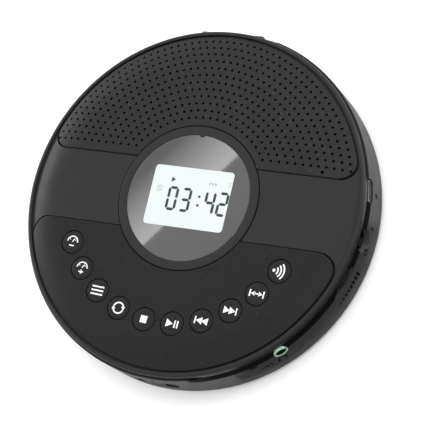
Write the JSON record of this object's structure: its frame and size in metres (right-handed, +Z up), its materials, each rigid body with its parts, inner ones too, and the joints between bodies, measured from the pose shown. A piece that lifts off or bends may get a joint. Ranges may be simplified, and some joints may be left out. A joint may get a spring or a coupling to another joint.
{
  "type": "portable cd player",
  "caption": "Round portable CD player with a hinged lid, display window, speaker grille, side sockets and controls, and a working disc drive under the lid.",
  "frame": {"origin": "on the axis of the round case, level with the undersides of its feet", "axes": "+Z up through the lid, +X towards the sockets and side controls, +Y towards the hinge and the speaker grille, -Y towards the buttons"},
  "size_m": [0.1478, 0.1478, 0.0271],
  "materials": {
    "base_plastic": "satin charcoal moulding",
    "lid_plastic": "satin dark grey moulding",
    "panel_plastic": "satin dark grey",
    "grille_plastic": "fine-grained dark grey",
    "key_plastic": "satin near-black with printed white symbols",
    "black_plastic": "fine matt black",
    "soft_rubber": "matt",
    "bare_steel": "plain rolled or drawn",
    "polished_steel": "polished",
    "circuit_board": "green solder mask",
    "battery_wrap": "shrink film",
    "mint_ring": "pale green, smooth",
    "window_plastic": "polished smoked mirror film",
    "lens_glass": "clear, coated",
    "cone_film": "formed film",
    "lcd_screen": "backlit display, dark grey digits"
  },
  "bodies": {
    "base": {"base_shell": "base_plastic", "disc_deck": "black_plastic", "hinge_pin": "bare_steel", "foot_1": "soft_rubber", "foot_2": "soft_rubber", "foot_3": "soft_rubber", "foot_4": "soft_rubber", "case_screw_1": "bare_steel", "case_screw_2": "bare_steel", "case_screw_3": "bare_steel", "case_screw_4": "bare_steel", "drive_frame": "black_plastic", "damper_1": "soft_rubber", "damper_2": "soft_rubber", "damper_3": "soft_rubber", "spindle_motor": "bare_steel", "sled_motor": "bare_steel", "guide_rod": "bare_steel", "main_board": "circuit_board", "battery_pack": "battery_wrap", "headphone_jack": "black_plastic", "headphone_ring": "mint_ring", "aux_jack": "black_plastic", "usb_socket": "bare_steel", "volume_pot": "black_plastic", "lid_switch_body": "black_plastic"},
    "lid": {"lid_shell": "lid_plastic", "grille_panel": "grille_plastic", "button_panel": "panel_plastic", "bezel_ring": "lid_plastic", "display_window": "window_plastic", "lcd_module": "lcd_screen", "lid_inner_cover": "black_plastic", "key_board": "circuit_board", "keypad_membrane": "soft_rubber", "speaker_left": "black_plastic", "speaker_right": "black_plastic"},
    "turntable": {"turntable_hub": "black_plastic"},
    "ball_1": {"clamp_ball_1": "polished_steel"},
    "ball_2": {"clamp_ball_2": "polished_steel"},
    "ball_3": {"clamp_ball_3": "polished_steel"},
    "sled": {"pickup_sled": "black_plastic"},
    "lens": {"pickup_lens": "lens_glass"},
    "screw": {"lead_screw": "bare_steel"},
    "wheel": {"volume_wheel": "black_plastic"},
    "switch": {"power_switch": "black_plastic"},
    "opener": {"open_slider": "black_plastic"},
    "lid_plunger": {"lid_switch_plunger": "black_plastic"},
    "cone_left": {"speaker_cone_left": "cone_film"},
    "cone_right": {"speaker_cone_right": "cone_film"},
    "key_speed_down": {"button_speed_down": "key_plastic"},
    "key_speed_up": {"button_speed_up": "key_plastic"},
    "key_function": {"button_function": "key_plastic"},
    "key_mode": {"button_mode": "key_plastic"},
    "key_stop": {"button_stop": "key_plastic"},
    "key_play_pause": {"button_play_pause": "key_plastic"},
    "key_previous": {"button_previous": "key_plastic"},
    "key_next": {"button_next": "key_plastic"},
    "key_repeat": {"button_repeat": "key_plastic"},
    "key_wireless": {"button_wireless": "key_plastic"}
  },
  "joints": [
    {"name": "lid_hinge", "type": "hinge", "parent": "base", "child": "lid", "pos_m": [0, 0.0716, 0.0209], "axis": [-1, 0, 0], "range_deg": [0, 70]},
    {"name": "speed_down_press", "type": "slide", "parent": "lid", "child": "key_speed_down", "axis": [0, 0, -1], "range_m": [0, 0.0007], "stiffness_N_per_m": 600},
    {"name": "speed_up_press", "type": "slide", "parent": "lid", "child": "key_speed_up", "axis": [0, 0, -1], "range_m": [0, 0.0007], "stiffness_N_per_m": 600},
    {"name": "function_press", "type": "slide", "parent": "lid", "child": "key_function", "axis": [0, 0, -1], "range_m": [0, 0.0007], "stiffness_N_per_m": 600},
    {"name": "mode_press", "type": "slide", "parent": "lid", "child": "key_mode", "axis": [0, 0, -1], "range_m": [0, 0.0007], "stiffness_N_per_m": 600},
    {"name": "stop_press", "type": "slide", "parent": "lid", "child": "key_stop", "axis": [0, 0, -1], "range_m": [0, 0.0007], "stiffness_N_per_m": 600},
    {"name": "play_pause_press", "type": "slide", "parent": "lid", "child": "key_play_pause", "axis": [0, 0, -1], "range_m": [0, 0.0007], "stiffness_N_per_m": 600},
    {"name": "previous_press", "type": "slide", "parent": "lid", "child": "key_previous", "axis": [0, 0, -1], "range_m": [0, 0.0007], "stiffness_N_per_m": 600},
    {"name": "next_press", "type": "slide", "parent": "lid", "child": "key_next", "axis": [0, 0, -1], "range_m": [0, 0.0007], "stiffness_N_per_m": 600},
    {"name": "repeat_press", "type": "slide", "parent": "lid", "child": "key_repeat", "axis": [0, 0, -1], "range_m": [0, 0.0007], "stiffness_N_per_m": 600},
    {"name": "wireless_press", "type": "slide", "parent": "lid", "child": "key_wireless", "axis": [0, 0, -1], "range_m": [0, 0.0007], "stiffness_N_per_m": 600},
    {"name": "open_slide", "type": "slide", "parent": "base", "child": "opener", "axis": [0.9999, -0.0131, 0], "range_m": [0, 0.004], "stiffness_N_per_m": 150},
    {"name": "power_slide", "type": "slide", "parent": "base", "child": "switch", "axis": [0.0785, 0.9969, 0], "range_m": [0, 0.0024]},
    {"name": "volume_turn", "type": "hinge", "parent": "base", "child": "wheel", "pos_m": [0.06315, -0.02052, 0.0184], "axis": [0, 0, 1], "range_deg": [-135, 135]},
    {"name": "spindle_spin", "type": "hinge", "parent": "base", "child": "turntable", "pos_m": [-0.0044, 0.0026, 0.016], "axis": [0, 0, 1], "continuous": true},
    {"name": "ball_1_press", "type": "slide", "parent": "turntable", "child": "ball_1", "axis": [0, -1, 0], "range_m": [0, 0.0005], "stiffness_N_per_m": 60},
    {"name": "ball_2_press", "type": "slide", "parent": "turntable", "child": "ball_2", "axis": [0.866, 0.5, 0], "range_m": [0, 0.0005], "stiffness_N_per_m": 60},
    {"name": "ball_3_press", "type": "slide", "parent": "turntable", "child": "ball_3", "axis": [-0.866, 0.5, 0], "range_m": [0, 0.0005], "stiffness_N_per_m": 60},
    {"name": "sled_feed", "type": "slide", "parent": "base", "child": "sled", "axis": [0, -1, 0], "range_m": [0, 0.0335]},
    {"name": "screw_turn", "type": "hinge", "parent": "base", "child": "screw", "pos_m": [-0.0214, -0.0374, 0.0084], "axis": [0, 1, 0], "range_deg": [-10, 4100]},
    {"name": "lens_focus", "type": "slide", "parent": "sled", "child": "lens", "axis": [0, 0, 1], "range_m": [-0.0005, 0.0005], "stiffness_N_per_m": 40},
    {"name": "cone_left_move", "type": "slide", "parent": "lid", "child": "cone_left", "axis": [0, 0, 1], "range_m": [-0.0003, 0.0003], "stiffness_N_per_m": 500},
    {"name": "cone_right_move", "type": "slide", "parent": "lid", "child": "cone_right", "axis": [0, 0, 1], "range_m": [-0.0003, 0.0003], "stiffness_N_per_m": 500},
    {"name": "lid_switch_press", "type": "slide", "parent": "base", "child": "lid_plunger", "axis": [0, 0, -1], "range_m": [0, 0.0008], "stiffness_N_per_m": 200}
  ],
  "couplings": [
    {"joint": "screw_turn", "follows": "sled_feed", "rad_per_m": 2094.4}
  ]
}
